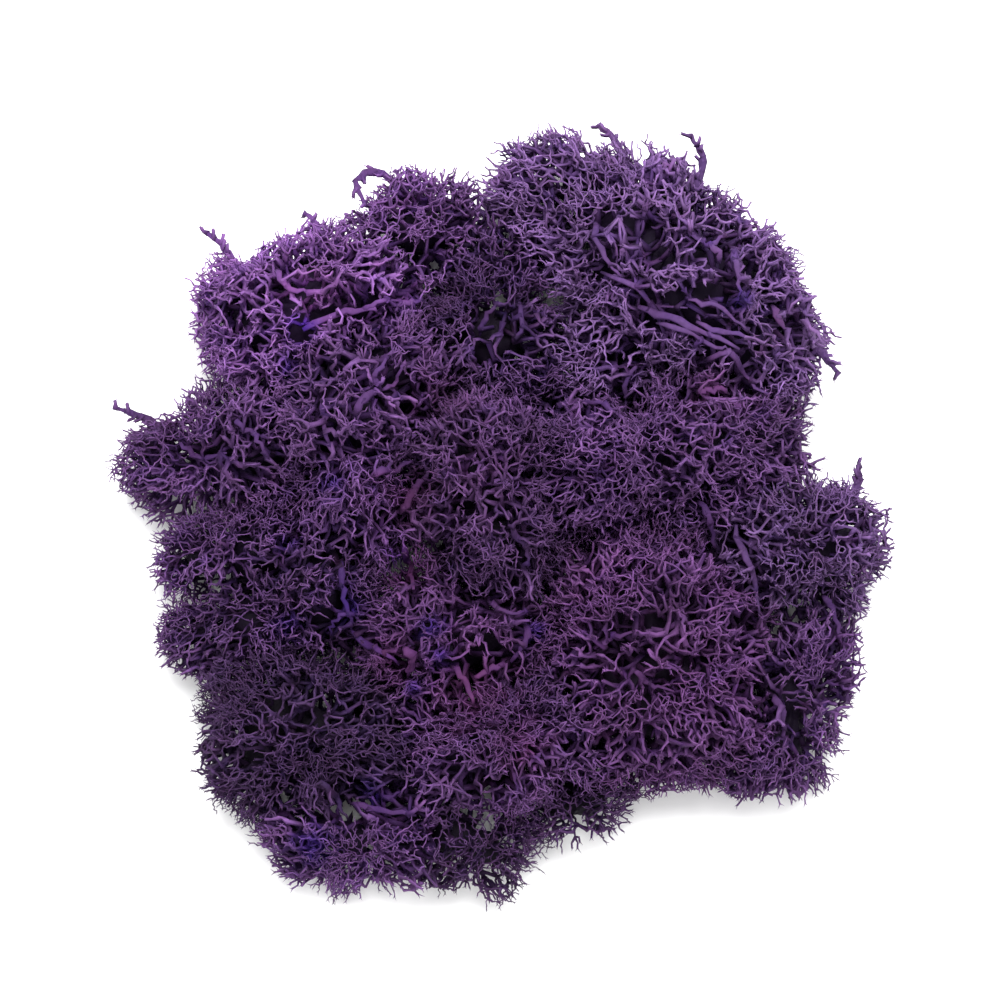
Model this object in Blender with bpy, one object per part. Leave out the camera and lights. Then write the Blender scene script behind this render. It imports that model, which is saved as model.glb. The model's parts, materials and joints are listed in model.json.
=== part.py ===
"""A clump of dyed reindeer moss: nineteen tufts that lean on each other, one closed solid each.

Every tuft is a knobbly heart of packed stems with forked sprays standing out of it on all its
free sides. Neighbours share the room between them, so each tuft ends just short of the next
one, and each rests on a small flat spot of its own. Metres, +Z up, front towards -Y.
"""

import math

import bmesh
import bpy
import numpy as np
from mathutils import Matrix, Vector
from mathutils.bvhtree import BVHTree

MM = 0.001
SEED = 26

# The rounded heads that each tuft is grown together from, in millimetres:
# x and y of the head's middle, its radius seen from above, and the height of its top.
TUFTS = {
    "back_right": [(9.5, 57, 14.5, 25), (25, 46.5, 18, 33), (35, 37, 18.5, 38), (45, 29, 14.5, 32),
                   (26.5, 54, 11.5, 28), (42, 42.5, 10.5, 30), (19, 28, 12, 25)],
    "right_middle": [(17.5, 6, 14, 40), (33.5, 8.5, 15.5, 39), (45.5, 11.5, 10.5, 30)],
    "front_right": [(24.5, -19, 16, 36), (33, -35, 16.5, 31), (21, -34.5, 15.5, 31),
                    (38, -21, 11, 30)],
    "right": [(58.5, -5.5, 12, 26), (48, -8, 13, 31), (57, -13, 8.5, 21)],
    "right_front": [(51.5, -32.5, 11, 24), (51, -42, 10, 20), (56.5, -25.5, 8.5, 21),
                    (45, -43, 9, 22)],
    "back_middle": [(-3.5, 45, 13, 22), (-1.5, 31, 14, 24), (6, 20, 10, 22), (-9, 34, 9, 22)],
    "back_left": [(-36, 32, 16.5, 34), (-45.5, 34, 11, 29), (-50, 40, 6, 22),
                  (-25.5, 37.5, 12, 33), (-31.5, 41, 11, 31)],
    "back_left_top": [(-15.5, 51, 12, 30), (-9, 51, 7.5, 24)],
    "left": [(-61.5, 8, 9.5, 20), (-52, 12, 11.5, 26), (-42, 10, 13, 31)],
    "centre_left": [(-27, 14.5, 15, 41), (-20.5, 24, 12, 36), (-25, -1, 12, 35)],
    "left_front": [(-54.5, -9, 9, 19), (-44, -8, 11, 25)],
    "left_low": [(-54.5, -23, 8, 18), (-44.5, -21, 9, 23), (-32.5, -15, 11.5, 31)],
    "front_left": [(-39.5, -38, 15, 26), (-41.5, -44.5, 13, 22), (-27, -41.5, 14, 26)],
    "front": [(-27.5, -59, 10.5, 17), (-18, -56.5, 11.5, 22), (-35, -57, 9.5, 17)],
    "front_end": [(-2.5, -60.5, 9.5, 18), (-9, -58, 9.5, 21)],
    "centre": [(-4, 5.5, 15, 42), (-0.5, -7, 12.5, 40)],
    "centre_front": [(-11, -24, 15, 32), (-0.5, -24, 10.5, 30)],
    "front_middle": [(-0.5, -42.5, 14, 30), (12, -39.5, 12.5, 28), (-9, -46.5, 10.5, 25),
                     (-14, -38.5, 9, 23)],
    "front_small": [(16, -51.5, 8.5, 16), (9.5, -53, 7.5, 16)],
}

# Thick stems that stand bare past the heads, in millimetres: the tuft, then points along it.
BARE_STEMS = [
    ("back_left_top", [(-16, 55, 15), (-22, 60.5, 17), (-26, 58.5, 20), (-24.5, 53, 23)]),
    ("back_left", [(-44, 38, 18), (-49, 45, 20), (-53, 49, 19)]),
    ("back_left", [(-28, 41, 18), (-32, 48.5, 19), (-35.5, 53, 17)]),
    ("back_right", [(24, 56, 16), (21, 65.5, 17), (17.5, 70, 15)]),
    ("back_right", [(33, 54, 16), (36, 62.5, 17), (34, 67, 19)]),
    ("back_right", [(50, 34, 17), (56.5, 27.5, 18), (60, 24, 16)]),
    ("right", [(60, -1, 13), (63.5, 4, 14), (64, 7.5, 12)]),
    ("left", [(-58, 13, 12), (-64.5, 16.5, 13), (-69.5, 18.5, 11)]),
]

FLOOR_DIP = 2 * MM         # how far the heads would reach below the floor, cut flat there
HEART_HEIGHT = 0.40        # height of the stems' meeting point, as a share of the tuft's top
HALF_GAP = 0.22 * MM       # each tuft stays this far from the border with its neighbour
OPEN_SHARE = 0.72          # the dense core's share of the heads, where sprays stand out of it
CROWDED_SHARE = 0.95       # the same where a neighbour leans on the tuft or it lies on the floor
CROWDED_WITHIN = 2.5 * MM  # how near the neighbour's border is for that
CORE_SPACING = 7.5 * MM    # between neighbouring corners of a core
CORE_CORNERS = (36, 90)    # fewest and most corners of a core
KNOBS = 0.05               # how uneven the core is, as a share of its radius
RAY_STEPS = 100            # samples along each direction out of a tuft's middle
DRAW_BACK = 0.97           # what is left of a corner's distance when its face is drawn back
DRAW_BACK_ROUNDS = 10
WELD = 0.002 * MM          # corners nearer than this are one corner

SPRAY_SITES = 600          # directions that may carry a spray, before they are thinned
SPRAY_SPACING = 7.0 * MM   # least distance between two sprays on the heads' surface
SPRAY_LENGTH = (6 * MM, 10 * MM)
SPRAY_FLOOR = 2.5 * MM     # no twig reaches lower than this
ROOT_DEPTH = 2.5 * MM      # how deep a spray's root is sunk in the core
STEM_RADIUS = 1.35 * MM
FORK_RADIUS = 1.15 * MM
ARM_RADIUS = 0.75 * MM
ARM_SPREAD = math.radians(56)
TINE_SPREAD = math.radians(38)
BARE_RADIUS = 1.0 * MM
BARE_TIP_RADIUS = 0.45 * MM

# Dyed lichen tones, linear RGB, and the tufts that have a tone of their own.
TONES = {
    "violet": (0.058, 0.026, 0.083),
    "grey_violet": (0.072, 0.042, 0.092),
    "rosy_violet": (0.082, 0.028, 0.083),
    "deep_violet": (0.034, 0.015, 0.052),
}
TUFT_TONES = {
    "back_right": "grey_violet",
    "right": "grey_violet",
    "front_right": "rosy_violet",
    "centre_front": "rosy_violet",
    "front_left": "deep_violet",
    "back_middle": "deep_violet",
}


def clear_scene():
    """Remove every object of the file."""
    for obj in list(bpy.data.objects):
        bpy.data.objects.remove(obj, do_unlink=True)


def dyed_lichen(tone):
    """Return the dull dyed-lichen material of one tone."""
    material = bpy.data.materials.get("dyed_lichen_" + tone)
    if material is None:
        material = bpy.data.materials.new("dyed_lichen_" + tone)
        material.use_nodes = True
        shader = material.node_tree.nodes["Principled BSDF"]
        shader.inputs["Base Color"].default_value = (*TONES[tone], 1)
        shader.inputs["Roughness"].default_value = 0.85
        shader.inputs["Metallic"].default_value = 0
    return material


def head_shapes(heads):
    """Return the middles and the half axes of a tuft's ellipsoid heads, in metres."""
    x, y, radius, top = (np.array(heads, dtype=float) * MM).T
    half_height = (top + FLOOR_DIP) / 2
    middles = np.stack([x, y, top - half_height], axis=1)
    half_axes = np.stack([radius, radius, half_height], axis=1)
    return middles, half_axes


def heart_of(heads):
    """Return the point where a tuft's stems meet: low down, under the weight of its heads."""
    x, y, radius, top = (np.array(heads, dtype=float) * MM).T
    weight = radius ** 2 / np.sum(radius ** 2)
    return np.array([np.sum(weight * x), np.sum(weight * y), HEART_HEIGHT * np.sum(weight * top)])


def field(points, heads):
    """Roughly how far each point lies outside a tuft's heads, negative inside them."""
    middles, half_axes = head_shapes(heads)
    relative = (points[..., None, :] - middles) / half_axes
    size = half_axes.mean(axis=1)
    return ((np.linalg.norm(relative, axis=-1) - 1) * size).min(axis=-1)


def clearance(points, name):
    """Return the distance from each point to the border with the nearest neighbour."""
    own = field(points, TUFTS[name])
    others = np.stack([field(points, heads) for other, heads in TUFTS.items() if other != name])
    return (others.min(axis=0) - own) / 2


def golden_directions(count):
    """Return evenly spread unit vectors, one every golden angle up a sphere."""
    step = np.arange(count) + 0.5
    height = 1 - 2 * step / count
    ring = np.sqrt(1 - height ** 2)
    turn = step * math.pi * (3 - math.sqrt(5))
    return np.stack([ring * np.cos(turn), ring * np.sin(turn), height], axis=1)


def reach(name, directions):
    """Return how far each direction goes to the heads' surface and to the tuft's own border.

    A ray runs out of the tuft's middle in every direction. It leaves the heads after the last
    sample inside one of them, and its own room at the first sample too near a neighbour.
    """
    heads = TUFTS[name]
    heart = heart_of(heads)
    middles, half_axes = head_shapes(heads)
    longest = np.linalg.norm(middles - heart, axis=1) + half_axes.max(axis=1)
    distance = np.linspace(0, longest.max(), RAY_STEPS)
    points = heart + directions[:, None, :] * distance[:, None]
    inside = field(points, heads) < 0
    surface = distance[RAY_STEPS - 1 - np.argmax(inside[:, ::-1], axis=1)]
    crowded = clearance(points, name) < HALF_GAP
    border = np.where(crowded.any(axis=1), distance[np.argmax(crowded, axis=1) - 1], np.inf)
    return surface, border


def core_radius(directions, surface, border):
    """Return how far a tuft's dense core goes in each direction.

    It fills the heads below and towards a neighbour, and leaves room for sprays elsewhere.
    """
    below = np.clip(-directions[:, 2] * 2 - 0.4, 0, 1)
    beside = np.clip(1 - (border - surface) / CROWDED_WITHIN, 0, 1)
    share = OPEN_SHARE + (CROWDED_SHARE - OPEN_SHARE) * np.maximum(below, beside)
    return np.minimum(surface * share, border)


def build_core(name, rng):
    """Make a tuft's dense core: a hull of even directions pushed out to its own room."""
    sites = golden_directions(SPRAY_SITES)
    area = 4 * math.pi * np.mean(reach(name, sites)[0] ** 2)
    corners = int(np.clip(area / CORE_SPACING ** 2, *CORE_CORNERS))
    directions = golden_directions(corners)
    surface, border = reach(name, directions)
    knobs = 1 + KNOBS * rng.uniform(-1, 1, corners)
    radius = core_radius(directions, surface * knobs, border)

    bm = bmesh.new()
    for direction in directions:
        bm.verts.new(direction)
    bmesh.ops.convex_hull(bm, input=list(bm.verts))
    bm.verts.ensure_lookup_table()
    heart = Vector(heart_of(TUFTS[name]))
    for vert, out in zip(bm.verts, radius):
        vert.co = heart + vert.co * float(out)
    draw_back(bm, name, heart)
    cut_flat_spot(bm)
    bmesh.ops.recalc_face_normals(bm, faces=list(bm.faces))
    return new_object(name, bm)


def draw_back(bm, name, heart):
    """Draw the corners of every face or edge that crosses the border back to the middle."""
    for _ in range(DRAW_BACK_ROUNDS):
        pieces = list(bm.faces) + list(bm.edges)
        middles = [sum((vert.co for vert in piece.verts), Vector()) / len(piece.verts)
                   for piece in pieces]
        tight = clearance(np.array([tuple(middle) for middle in middles]), name) < HALF_GAP / 2
        for vert in {vert for piece, is_tight in zip(pieces, tight) if is_tight
                     for vert in piece.verts}:
            vert.co = heart.lerp(vert.co, DRAW_BACK)


def cut_flat_spot(bm):
    """Cut a tuft off at the floor, which leaves the small flat spot that it rests on."""
    everything = list(bm.verts) + list(bm.edges) + list(bm.faces)
    bmesh.ops.bisect_plane(bm, geom=everything, dist=1e-7, plane_co=(0, 0, 0),
                           plane_no=(0, 0, -1), clear_outer=True)
    rim = [edge for edge in bm.edges if edge.is_boundary]
    bmesh.ops.holes_fill(bm, edges=rim, sides=0)


def new_object(name, bm):
    """Turn a bmesh into an object of the scene."""
    mesh = bpy.data.meshes.new(name)
    bm.to_mesh(mesh)
    bm.free()
    obj = bpy.data.objects.new(name, mesh)
    bpy.context.scene.collection.objects.link(obj)
    return obj


def grow_arm(bm, face, direction, length, end_radius):
    """Pull one face out along a direction, square it to that, and return the end face."""
    end = bmesh.ops.extrude_discrete_faces(bm, faces=[face])["faces"][0]
    end.normal_update()
    turn = end.normal.rotation_difference(direction).to_matrix()
    middle = end.calc_center_median()
    for vert in end.verts:
        corner = (turn @ (vert.co - middle)).normalized() * end_radius
        vert.co = middle + direction * length + corner
    return end


def spray_directions(faces, middle, axis, spread):
    """Return a direction for each face of a fork: outwards from the axis by the spread."""
    directions = []
    for face in faces:
        side = face.calc_center_median() - middle
        side = (side - axis * side.dot(axis)).normalized()
        directions.append(axis * math.cos(spread) + side * math.sin(spread))
    return directions


def all_clear(points, name):
    """Say whether every point is in the tuft's own room and above the floor."""
    spots = np.array([tuple(point) for point in points])
    return bool((clearance(spots, name) > HALF_GAP).all() and spots[:, 2].min() > SPRAY_FLOOR)


def build_spray(name, root, axis, length, twist):
    """Make one forked spray: a stem, three arms, and three tines on each arm.

    The spray is folded up towards its axis, a little at a time, until it is clear of the
    neighbouring tufts. It is left out where even a folded one would cross them.
    """
    for fold in (1, 0.75, 0.5, 0.3):
        bm = bmesh.new()
        stem = ROOT_DEPTH + length * 0.45
        bmesh.ops.create_cone(bm, segments=3, cap_ends=True, radius1=STEM_RADIUS,
                              radius2=FORK_RADIUS, depth=stem)
        turn = axis.to_track_quat("Z", "X").to_matrix() @ Matrix.Rotation(twist, 3, "Z")
        bmesh.ops.rotate(bm, verts=list(bm.verts), matrix=turn)
        bmesh.ops.translate(bm, verts=list(bm.verts), vec=root + axis * (stem / 2 - ROOT_DEPTH))
        top = max(bm.faces, key=lambda face: face.calc_center_median().dot(axis))
        fork = top.calc_center_median()
        arms = bmesh.ops.poke(bm, faces=[top])["faces"]
        ways = spray_directions(arms, fork, axis, ARM_SPREAD * fold)
        ends = [fork]
        for face, way in zip(arms, ways):
            end = grow_arm(bm, face, way, length * 0.35, ARM_RADIUS)
            knuckle = end.calc_center_median()
            ends.append(knuckle)
            tines = bmesh.ops.poke(bm, faces=[end])["faces"]
            tine_ways = spray_directions(tines, knuckle, way, TINE_SPREAD)
            for tine, tine_way in zip(tines, tine_ways):
                point = bmesh.ops.poke(bm, faces=[tine])["verts"][0]
                point.co += tine_way * length * 0.42
                ends.append(point.co.copy())
        if all_clear(ends, name):
            bmesh.ops.recalc_face_normals(bm, faces=list(bm.faces))
            return new_object(name + "_spray", bm)
        bm.free()
    return None


def spaced(points, spacing):
    """Return the indices of points that lie at least the spacing apart, in the given order."""
    kept = []
    for index, point in enumerate(points):
        if not kept or np.linalg.norm(points[kept] - point, axis=1).min() >= spacing:
            kept.append(index)
    return kept


def build_sprays(name, core, rng):
    """Spread sprays evenly over the tuft's free surface, and return their objects."""
    body = BVHTree.FromObject(core, bpy.context.evaluated_depsgraph_get())
    heart = heart_of(TUFTS[name])
    directions = rng.permutation(golden_directions(SPRAY_SITES))
    surface, border = reach(name, directions)
    dense = core_radius(directions, surface, border)
    tips = np.minimum(surface, border)
    free = tips - dense > SPRAY_LENGTH[0] * 0.45
    directions, dense, tips = directions[free], dense[free], tips[free]
    sprays = []
    for site in spaced(heart + directions * tips[:, None], SPRAY_SPACING):
        lean = Vector(rng.uniform(-0.25, 0.25, 3))
        axis = (Vector(directions[site]) + lean).normalized()
        root = body.ray_cast(Vector(heart), Vector(directions[site]))[0]
        length = float(np.clip((tips[site] - dense[site]) * 1.2, *SPRAY_LENGTH))
        twist = float(rng.uniform(0, math.tau))
        spray = build_spray(name, root, axis, length, twist)
        if spray is not None:
            sprays.append(spray)
    return sprays


def build_bare_stem(name, points):
    """Make a bare stem: a four-sided twig carried along its points to a thin end."""
    path = [Vector(point) * MM for point in points]
    radii = np.linspace(BARE_RADIUS, BARE_TIP_RADIUS, len(path))
    axis = (path[1] - path[0]).normalized()
    bm = bmesh.new()
    bmesh.ops.create_cone(bm, segments=4, cap_ends=True, radius1=radii[0], radius2=radii[1],
                          depth=(path[1] - path[0]).length)
    bmesh.ops.rotate(bm, verts=list(bm.verts), matrix=axis.to_track_quat("Z", "X").to_matrix())
    bmesh.ops.translate(bm, verts=list(bm.verts), vec=(path[0] + path[1]) / 2)
    end = max(bm.faces, key=lambda face: face.calc_center_median().dot(axis))
    for start, stop, radius in zip(path[1:], path[2:], radii[2:]):
        way = (stop - start).normalized()
        end = bmesh.ops.extrude_discrete_faces(bm, faces=[end])["faces"][0]
        turn = axis.rotation_difference(way).to_matrix()
        for vert in end.verts:
            vert.co = stop + (turn @ (vert.co - start)).normalized() * float(radius)
        axis = way
    bmesh.ops.recalc_face_normals(bm, faces=list(bm.faces))
    return new_object(name + "_stem", bm)


def join_tuft(core, pieces):
    """Fuse a tuft's sprays and stems into its core by one Boolean union on a collection."""
    collection = bpy.data.collections.new(core.name + "_pieces")
    bpy.context.scene.collection.children.link(collection)
    for piece in pieces:
        bpy.context.scene.collection.objects.unlink(piece)
        collection.objects.link(piece)
    union = core.modifiers.new("union", "BOOLEAN")
    union.operation = "UNION"
    union.operand_type = "COLLECTION"
    union.collection = collection
    union.solver = "MANIFOLD"
    depsgraph = bpy.context.evaluated_depsgraph_get()
    fused = bpy.data.meshes.new_from_object(core.evaluated_get(depsgraph))
    core.modifiers.clear()
    core.data = fused
    keep_main_body(fused)
    for piece in pieces:
        bpy.data.objects.remove(piece, do_unlink=True)
    bpy.data.collections.remove(collection)


def keep_main_body(mesh):
    """Fill the hollows that fusing sealed and drop loose scraps: only the largest shell stays."""
    bm = bmesh.new()
    bm.from_mesh(mesh)
    bmesh.ops.remove_doubles(bm, verts=list(bm.verts), dist=WELD)
    waiting = set(bm.faces)
    shells = []
    while waiting:
        shell = []
        growing = [waiting.pop()]
        while growing:
            face = growing.pop()
            shell.append(face)
            near = {other for edge in face.edges for other in edge.link_faces} & waiting
            waiting -= near
            growing.extend(near)
        shells.append(shell)
    shells.sort(key=len)
    for shell in shells[:-1]:
        bmesh.ops.delete(bm, geom=shell, context="FACES")
    bm.to_mesh(mesh)
    bm.free()


def main():
    """Build every tuft of the clump."""
    clear_scene()
    for index, name in enumerate(TUFTS):
        rng = np.random.default_rng(SEED + index)
        core = build_core(name, rng)
        pieces = build_sprays(name, core, rng)
        pieces += [build_bare_stem(name, points) for tuft, points in BARE_STEMS if tuft == name]
        join_tuft(core, pieces)
        core.data.materials.clear()
        core.data.materials.append(dyed_lichen(TUFT_TONES.get(name, "violet")))


main()
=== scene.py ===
# %% [markdown]
# # A clump of dyed reindeer moss
# Reindeer moss is a lichen. Each tuft is one plant that forks again and again, from a thick
# stem to star-shaped tips under half a millimetre wide. This lesson dresses nineteen plain
# tufts with their real net of branches: it grows them as numpy arrays, a whole generation at
# a time, and skins every branch with a thin bent tube.

# %% The frame
import json
import math

import bpy
import numpy as np
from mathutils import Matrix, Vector

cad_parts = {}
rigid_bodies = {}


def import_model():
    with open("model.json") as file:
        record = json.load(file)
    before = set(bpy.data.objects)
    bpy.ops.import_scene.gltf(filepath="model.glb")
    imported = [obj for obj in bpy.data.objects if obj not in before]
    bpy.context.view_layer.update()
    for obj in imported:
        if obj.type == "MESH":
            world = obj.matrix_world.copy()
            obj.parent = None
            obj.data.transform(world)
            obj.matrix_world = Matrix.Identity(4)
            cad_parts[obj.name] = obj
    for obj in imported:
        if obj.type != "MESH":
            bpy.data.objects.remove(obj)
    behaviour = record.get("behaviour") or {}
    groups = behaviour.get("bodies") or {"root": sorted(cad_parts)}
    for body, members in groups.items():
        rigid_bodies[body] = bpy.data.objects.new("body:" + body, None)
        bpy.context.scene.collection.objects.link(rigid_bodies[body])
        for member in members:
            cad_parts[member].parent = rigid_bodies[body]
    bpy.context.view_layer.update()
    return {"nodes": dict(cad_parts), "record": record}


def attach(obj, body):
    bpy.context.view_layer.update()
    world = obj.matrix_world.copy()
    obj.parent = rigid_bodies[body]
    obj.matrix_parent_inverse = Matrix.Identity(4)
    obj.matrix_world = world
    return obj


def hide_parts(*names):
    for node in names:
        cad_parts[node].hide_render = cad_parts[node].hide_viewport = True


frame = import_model()
MM = 0.001
SEED = 13
rng = np.random.default_rng(SEED)
print("tufts in the frame:", len(frame["nodes"]))

# %% [markdown]
# ## Where the tufts are
# A tuft is a few rounded heads grown together. The table repeats the sizes of the solids that
# the pieces replace, in millimetres: x and y of a head's middle, its radius seen from above,
# and the height of its top. Every head dips a little below the floor, where it rests.

# %% Heads of each tuft
TUFTS = {
    "back_right": [(9.5, 57, 14.5, 25), (25, 46.5, 18, 33), (35, 37, 18.5, 38), (45, 29, 14.5, 32),
                   (26.5, 54, 11.5, 28), (42, 42.5, 10.5, 30), (19, 28, 12, 25)],
    "right_middle": [(17.5, 6, 14, 40), (33.5, 8.5, 15.5, 39), (45.5, 11.5, 10.5, 30)],
    "front_right": [(24.5, -19, 16, 36), (33, -35, 16.5, 31), (21, -34.5, 15.5, 31),
                    (38, -21, 11, 30)],
    "right": [(58.5, -5.5, 12, 26), (48, -8, 13, 31), (57, -13, 8.5, 21)],
    "right_front": [(51.5, -32.5, 11, 24), (51, -42, 10, 20), (56.5, -25.5, 8.5, 21),
                    (45, -43, 9, 22)],
    "back_middle": [(-3.5, 45, 13, 22), (-1.5, 31, 14, 24), (6, 20, 10, 22), (-9, 34, 9, 22)],
    "back_left": [(-36, 32, 16.5, 34), (-45.5, 34, 11, 29), (-50, 40, 6, 22),
                  (-25.5, 37.5, 12, 33), (-31.5, 41, 11, 31)],
    "back_left_top": [(-15.5, 51, 12, 30), (-9, 51, 7.5, 24)],
    "left": [(-61.5, 8, 9.5, 20), (-52, 12, 11.5, 26), (-42, 10, 13, 31)],
    "centre_left": [(-27, 14.5, 15, 41), (-20.5, 24, 12, 36), (-25, -1, 12, 35)],
    "left_front": [(-54.5, -9, 9, 19), (-44, -8, 11, 25)],
    "left_low": [(-54.5, -23, 8, 18), (-44.5, -21, 9, 23), (-32.5, -15, 11.5, 31)],
    "front_left": [(-39.5, -38, 15, 26), (-41.5, -44.5, 13, 22), (-27, -41.5, 14, 26)],
    "front": [(-27.5, -59, 10.5, 17), (-18, -56.5, 11.5, 22), (-35, -57, 9.5, 17)],
    "front_end": [(-2.5, -60.5, 9.5, 18), (-9, -58, 9.5, 21)],
    "centre": [(-4, 5.5, 15, 42), (-0.5, -7, 12.5, 40)],
    "centre_front": [(-11, -24, 15, 32), (-0.5, -24, 10.5, 30)],
    "front_middle": [(-0.5, -42.5, 14, 30), (12, -39.5, 12.5, 28), (-9, -46.5, 10.5, 25),
                     (-14, -38.5, 9, 23)],
    "front_small": [(16, -51.5, 8.5, 16), (9.5, -53, 7.5, 16)],
}
FLOOR_DIP = 2.0

names = list(TUFTS)
heads = np.array([head for name in names for head in TUFTS[name]], dtype=float)
head_owner = np.repeat(np.arange(len(names)), [len(TUFTS[name]) for name in names])
head_starts = np.searchsorted(head_owner, np.arange(len(names)))
head_half = np.stack([heads[:, 2], heads[:, 2], (heads[:, 3] + FLOOR_DIP) / 2], axis=1)
head_middle = np.stack([heads[:, 0], heads[:, 1], heads[:, 3] - head_half[:, 2]], axis=1)
print("heads:", len(heads))

# %% [markdown]
# ## Under the surface, and inside a tuft
# Two questions steer every branch: how deep is it under the heap's outer surface, and how far
# is it from the next tuft? Ray casts on the solids would answer them slowly. The scaled
# distance to an ellipsoid is cheap enough to ask for a hundred thousand points at once. The
# heap's surface blends all the heads softly, because real tufts hook into each other and leave
# shallow valleys, not sharp creases.

# %% The field of the heads
# How softly the heads blend, how much of the swelling that this makes is taken off again, both
# in millimetres, and how much an offset below a head's middle counts.
BLEND = 2.2
BLEND_LIFT = 1.3
COLUMN = 0.6


def depth_and_room(points, owner):
    """Depth under the heap's surface, and room to the border with the nearest other tuft.

    A head's distance is (length of the offset in units of its half axes, minus 1) times its
    mean half axis. Below its middle a head stands on its stems like a column, so the offset
    down counts less there. Depth is blend * log(sum(exp(-distance / blend))), less the lift.
    """
    offset = (points[:, None, :] - head_middle) / head_half
    offset[:, :, 2] *= np.where(offset[:, :, 2] < 0, COLUMN, 1)
    distance = (np.linalg.norm(offset, axis=2) - 1) * head_half.mean(axis=1)
    depth = BLEND * np.log(np.exp(-distance / BLEND).sum(axis=1)) - BLEND_LIFT
    fields = np.minimum.reduceat(distance, head_starts, axis=1)
    rows = np.arange(len(points))
    own = fields[rows, owner]
    fields[rows, owner] = np.inf
    return depth, (fields.min(axis=1) - own) / 2


def unit(vectors):
    """Vectors divided by their own length."""
    return vectors / np.maximum(np.linalg.norm(vectors, axis=-1, keepdims=True), 1e-9)


def golden_directions(count):
    """Evenly spread unit vectors: equal steps of height, a golden angle of turn each."""
    step = np.arange(count) + 0.5
    height = 1 - 2 * step / count
    ring = np.sqrt(1 - height ** 2)
    turn = step * math.pi * (3 - math.sqrt(5))
    return np.stack([ring * np.cos(turn), ring * np.sin(turn), height], axis=1)


# %% [markdown]
# ## A live shell round a dark core
# Light reaches only the outermost millimetres of a tuft, so the net grows in a shell there, and
# what lies deeper is a plain dark core round the tuft's middle. In a small tuft the shell is
# thinner, at most a set share of how deep that middle lies, so that a core is left there too.

# %% Middle and shell of each tuft
MIDDLE_HEIGHT = 0.35
SHELL = 7.0
CORE_SHARE = 0.85
weight = heads[:, 2] ** 2
tuft_weight = np.add.reduceat(weight, head_starts)


def mean_of_heads(values):
    """A tuft's mean of one value of its heads, each head weighted by its radius squared."""
    return np.add.reduceat(weight * values, head_starts) / tuft_weight


tuft_middle = np.stack([mean_of_heads(heads[:, 0]), mean_of_heads(heads[:, 1]),
                        mean_of_heads(heads[:, 3]) * MIDDLE_HEIGHT], axis=1)
middle_depth = depth_and_room(tuft_middle, np.arange(len(names)))[0]
shell_of = np.minimum(SHELL, middle_depth * CORE_SHARE)
print("shells of", np.round(shell_of, 1), "mm")

# %% [markdown]
# ## Uneven on purpose
# No two patches of the net are alike. Smooth noise, a sum of long cosine waves in random
# directions, makes the surface bumpy and decides where the net is a fine fuzz and where it is
# a wide web of thick branches round dark holes. Each tuft has a coarseness of its own besides,
# and the net is a little wider in a few spots where the photograph shows an open web.

# %% Smooth noise
# Wavelengths in millimetres.
BUMP_WAVE, COARSE_WAVE, TONE_WAVE = 11, 17, 17


def smooth_noise(wavelength, waves=14):
    """A function of points, smooth, mostly between -1 and 1: a sum of cosines over its root.

    Each wave has a random direction and phase, and from 0.7 to 1.4 of the frequency asked for.
    """
    directions = unit(rng.normal(size=(waves, 3))) * math.tau / wavelength
    directions *= rng.uniform(0.7, 1.4, waves)[:, None]
    phases = rng.uniform(0, math.tau, waves)
    return lambda points: np.cos(points @ directions.T + phases).sum(axis=1) / math.sqrt(waves)


bump_noise = smooth_noise(BUMP_WAVE)
coarse_noise = smooth_noise(COARSE_WAVE)
tone_noise = smooth_noise(TONE_WAVE)
print("noise at the heads:", np.round(np.ptp(coarse_noise(head_middle)), 2), "from low to high")

# %% Fuzz and webs
TUFT_COARSENESS = {"back_right": 1.02, "back_middle": 0.95, "front": 0.9, "front_left": 0.9,
                   "front_middle": 0.9, "back_left_top": 0.95, "left": 0.92, "left_front": 0.88,
                   "left_low": 0.92, "front_end": 0.85, "front_small": 0.8}
# x, y and radius in millimetres, and how much wider the net is there.
WIDE_SPOTS = np.array([(40, 34, 13, 0.1), (28, -28, 11, 0.1), (-26, -51, 6, 0.15),
                       (-5, -30, 6, 0.15), (47, -10, 6, 0.15), (53, -34, 7, 0.1),
                       (-30, 20, 8, 0.1), (12, 58, 7, 0.1)])
COARSE_SPREAD = 0.22
FINEST, WIDEST = 0.75, 1.5
tuft_coarseness = np.array([TUFT_COARSENESS.get(name, 1.0) for name in names])


def strongest(points, spots, ragged=1.0):
    """The largest of strength * exp(-(distance / (radius * ragged)) ** 2) of all the spots."""
    distance = np.linalg.norm(points[:, None, :2] - spots[:, :2], axis=2)
    return np.max(spots[:, 3] * np.exp(-(distance / (spots[:, 2] * ragged)) ** 2), axis=1)


def coarseness(points, owner):
    """How wide the net is: the tuft's value * exp(noise + spots), the latter kept in limits."""
    local = np.exp(COARSE_SPREAD * coarse_noise(points) + strongest(points, WIDE_SPOTS))
    return tuft_coarseness[owner] * np.clip(local, FINEST, WIDEST)


at_heads = coarseness(head_middle, head_owner)
print("coarseness", np.round(at_heads.min(), 2), "to", np.round(at_heads.max(), 2))

# %% [markdown]
# ## Knobs and clefts
# A tuft isn't one smooth dome: its outline is a cauliflower of small knobs, each the crown of
# one main branch. Knob points are spread over the surface, and the surface is lowered where a
# point is as near to one knob as to the next, which leaves a dark cleft between them.

# %% Knob points
KNOB_SPACING = 8.5
KNOB_DIRECTIONS = 260
KNOB_SCATTER = 1.6
KNOB_LOWEST = 1


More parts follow.
